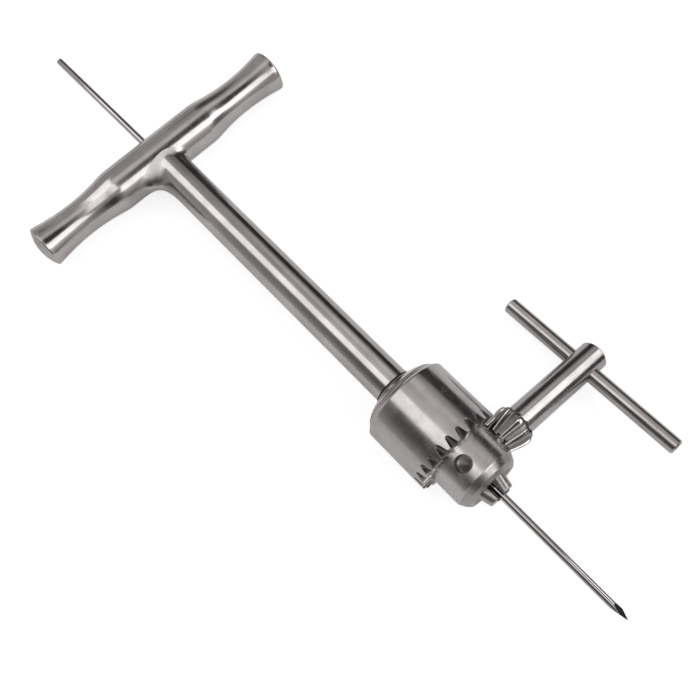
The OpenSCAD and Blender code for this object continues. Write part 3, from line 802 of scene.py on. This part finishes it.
# %% Crossbar
BAR_HALF, BAR_MID_R, BAR_WAIST_R, BAR_END_R = 49.7, 7.55, 6.05, 7.35
BAR_SHOULDER, BAR_LAND, BAR_BORE_R = 20.0, 48.7, 4.3
BAR_RIM = [(49.6, 7.29), (49.66, 7.25), (BAR_HALF, 7.2)]
WAIST_REACH, MIDDLE_SOFT, END_SOFT = 30, 0.5, 0.15


def bar_radius(y):
    """Radius at y: two arcs meet in the waist, and the middle and the ends are plain."""
    y = np.abs(y)
    waist = (BAR_SHOULDER + BAR_LAND) / 2
    half = waist - BAR_SHOULDER
    rise = np.where(y < waist, BAR_MID_R - BAR_WAIST_R, BAR_END_R - BAR_WAIST_R)
    arc = (half**2 + rise**2) / (2 * rise)
    away = np.minimum(np.abs(y - waist), WAIST_REACH)
    hollow = BAR_WAIST_R + arc - np.sqrt(np.maximum(arc**2 - away**2, 0))
    limit = np.where(y < waist, BAR_MID_R, BAR_END_R)
    return soft_min(hollow, limit, np.where(y < waist, MIDDLE_SOFT, END_SOFT))


def bar_surface(columns=192):
    """The handle's ring: bore, end face, outside, end face, along +Y with a rounded rim."""
    angle = around(columns)
    y = np.concatenate([np.linspace(-49.5, -48, 7), np.linspace(-47, 47, 189), np.linspace(48, 49.5, 7)])
    rows = [(p, BAR_BORE_R) for p in (BAR_HALF, 30, 0, -30, -BAR_HALF)]
    rows += [(-p, r) for p, r in BAR_RIM[::-1]] + list(zip(y, bar_radius(y))) + BAR_RIM
    place, radius = np.array(rows).T[:, :, None]
    return np.stack([radius * np.sin(angle), np.broadcast_to(place, (len(rows), columns)),
                     radius * np.cos(angle)], -1)


crossbar = skin("turned_crossbar", bar_surface(), "drill", ["crossbar"], satin_bar,
                ring=True)

# %% [markdown]
# The shaft's tenon goes through the crossbar, and its end shows in a round hole in the rear
# wall. A boolean cuts the hole along X, because the rows of the grid go round the bar and none
# of them follows the hole's edge. The shaft and the weld hide the hole in the front wall.

# %% Cross hole
TENON_R, TENON_GAP, HOLE_LEN = 3.8, 0.02, 30


def bore_through(piece, radius, length):
    """Cut a round hole along X through the piece with a boolean, and keep the result as its mesh."""
    bpy.ops.mesh.primitive_cylinder_add(vertices=96, radius=radius, depth=length,
                                        rotation=(0, math.pi / 2, 0))
    cutter = bpy.context.object
    bore = piece.modifiers.new("bore", "BOOLEAN")
    bore.operation, bore.solver, bore.object = "DIFFERENCE", "EXACT", cutter
    bpy.context.view_layer.update()
    mesh = bpy.data.meshes.new_from_object(piece.evaluated_get(bpy.context.evaluated_depsgraph_get()))
    piece.modifiers.clear()
    piece.data = mesh
    bpy.data.objects.remove(cutter)
    mesh.polygons.foreach_set("use_smooth", np.ones(len(mesh.polygons), bool))
    mesh.set_sharp_from_angle(angle=math.radians(CREASE))
    print("bored:", piece.name, len(mesh.polygons), "faces")


bore_through(crossbar, radius=(TENON_R + TENON_GAP) * MM, length=HOLE_LEN * MM)

# %% [markdown]
# ## The weld
#
# The shaft is welded to the crossbar, and the weld is ground to one sweep, wide on the near
# side and tight on the far side. Picture a ball that rolls round the shaft in the corner and
# touches both tubes: its two contact points and the corner of their tangents are known for
# every angle. A Bezier curve runs from contact to contact. Its inner points lie near the
# corner, so its ends are almost straight and the light flows from tube to weld without a kink.
# On top the weld was dressed by hand and is matte, and there it also gets a painted light, a colour
# paler than the steel's, which an attribute marks.
# The last ring lies inside both tubes and closes the piece.

# %% Weld
SHAFT_R = 6.2
BALL_NEAR, BALL_FAR, PULL = 11.5, 3.2, 0.84
SINK = 0.012
INNER_R, INNER_DEPTH = 5.6, 0.5
# The top patch that is matte and has a painted light: its middle angle, its spread, and where it fades
# in and out along the sweep
MATTE_PAINTED_LIGHT_MIDDLE, MATTE_PAINTED_LIGHT_SPREAD = math.radians(99), math.radians(35)
MATTE_PAINTED_LIGHT_FROM, MATTE_PAINTED_LIGHT_TO, MATTE_PAINTED_LIGHT_FADE = 0.05, 1.15, 0.35


def weld_surface(columns=240, rows=40):
    """Bezier curves between the contacts of a ball with the shaft and with the bar.

    The ball's centre lies at radius + ball from both axes. The corner of the tangents is
    centre + ball * (u + v) / (1 + u.v), where u and v point at the contacts. The share of the
    matte patch with its painted light is exp(-(turn from the middle / spread)^4), faded in from the
    shaft and out to the bar."""
    angle = around(columns)
    ball = (BALL_NEAR + BALL_FAR) / 2 - np.cos(angle) * (BALL_NEAR - BALL_FAR) / 2
    y, z = (SHAFT_R - SINK + ball) * np.cos(angle), (SHAFT_R - SINK + ball) * np.sin(angle)
    out = BAR_MID_R - SINK + ball
    x = np.sqrt(out**2 - z**2)
    centre = np.stack([x, y, z], -1)
    u = np.stack([0 * x, -np.cos(angle), -np.sin(angle)], -1)
    v = np.stack([-x / out, 0 * x, -z / out], -1)
    on_shaft, on_bar = centre + ball[:, None] * u, centre + ball[:, None] * v
    corner = centre + (ball / (1 + (u * v).sum(-1)))[:, None] * (u + v)
    near_shaft = on_shaft + PULL * (corner - on_shaft)
    near_bar = on_bar + PULL * (corner - on_bar)
    t = np.linspace(0, 1, rows)[:, None, None]
    sweep = ((1 - t) ** 3 * on_shaft + 3 * t * (1 - t) ** 2 * near_shaft
             + 3 * t**2 * (1 - t) * near_bar + t**3 * on_bar)
    inner_y, inner_z = INNER_R * np.cos(angle), INNER_R * np.sin(angle)
    inner_x = np.sqrt((BAR_MID_R - INNER_DEPTH) ** 2 - inner_z**2)
    inside = np.stack([inner_x, inner_y, inner_z], -1)
    # The top patch: matte roughness and a painted light, a colour paler than the steel.
    top = np.exp(-(((angle - MATTE_PAINTED_LIGHT_MIDDLE) / MATTE_PAINTED_LIGHT_SPREAD) ** 4))
    t = t[..., 0]
    matte_and_painted_light = top * smooth((t - MATTE_PAINTED_LIGHT_FROM) / MATTE_PAINTED_LIGHT_FADE) * smooth((MATTE_PAINTED_LIGHT_TO - t) / MATTE_PAINTED_LIGHT_FADE)
    return np.concatenate([sweep, inside[None]]), np.concatenate([matte_and_painted_light, matte_and_painted_light[:1]])


points, cut = weld_surface()
skin("ground_weld", points[::-1], "drill", ["weld_fillet"], weld_steel,
     ring=True, cut=cut[::-1])

# %% [markdown]
# ## The collar
#
# Where the shaft enters the chuck there is a fine open joint, then a polished bead, and then
# the chuck's rear swells in a low dome up to the sleeve, with one fine groove before it. All
# of it is turned, so it is one profile of points, each with a place along the axis, a radius
# and how much painted shade it has. The open joint is only a few tenths of a millimetre wide,
# but it draws a sharp dark line round the shaft, and a picture without that line looks
# unfinished. That line is a painted shade on a band of the collar inside the joint, and the
# groove and the foot of the bead get a painted shade too.

# %% Collar
# The third number of each point is its painted shade: full in the joint and the groove, half at the foot
# of the bead.
JOINT = [(116.1, 6.1, 1), (116.1, 6.44, 1), (116.14, 6.5, 1), (116.72, 6.56, 1), (116.76, 6.64, 1)]
BEAD_X, BEAD_MIDDLE_R, BEAD_R = 117.08, 6.84, 0.3
BEAD = [(BEAD_X - BEAD_R * math.cos(a), BEAD_MIDDLE_R + BEAD_R * math.sin(a), 0)
        for a in np.linspace(0.1, 2.5, 12)]
DOME = [(117.38, 7.05, 0.5), (117.5, 7.6, 0), (117.7, 8.7, 0), (118.05, 9.9, 0), (118.5, 11.0, 0),
        (119.05, 12.0, 0), (119.65, 12.8, 0), (119.9, 13.07, 0)]
GROOVE = [(119.96, 13.08, 0.7), (120.02, 12.98, 1), (120.12, 12.98, 1), (120.17, 13.2, 0.7)]
RIM = [(120.25, 13.36, 0), (120.5, 13.52, 0), (120.72, 13.58, 0), (120.76, 13.5, 0)]
HIDDEN = [(120.7, 12.9, 0), (118.0, 8.2, 0), (117.0, 6.3, 0), (116.4, 6.05, 0)]


def collar_surface(columns=192):
    """The profile turned about the drill axis, and the painted shade at each of its points."""
    angle = around(columns)
    x, radius, shade = np.array(JOINT + BEAD + DOME + GROOVE + RIM + HIDDEN).T[:, :, None]
    return around_x(x, radius, angle), np.broadcast_to(shade, (len(x), columns))


points, cut = collar_surface()
skin("chuck_collar", points, "drill", [], chuck_collar, ring=True, cut=cut)
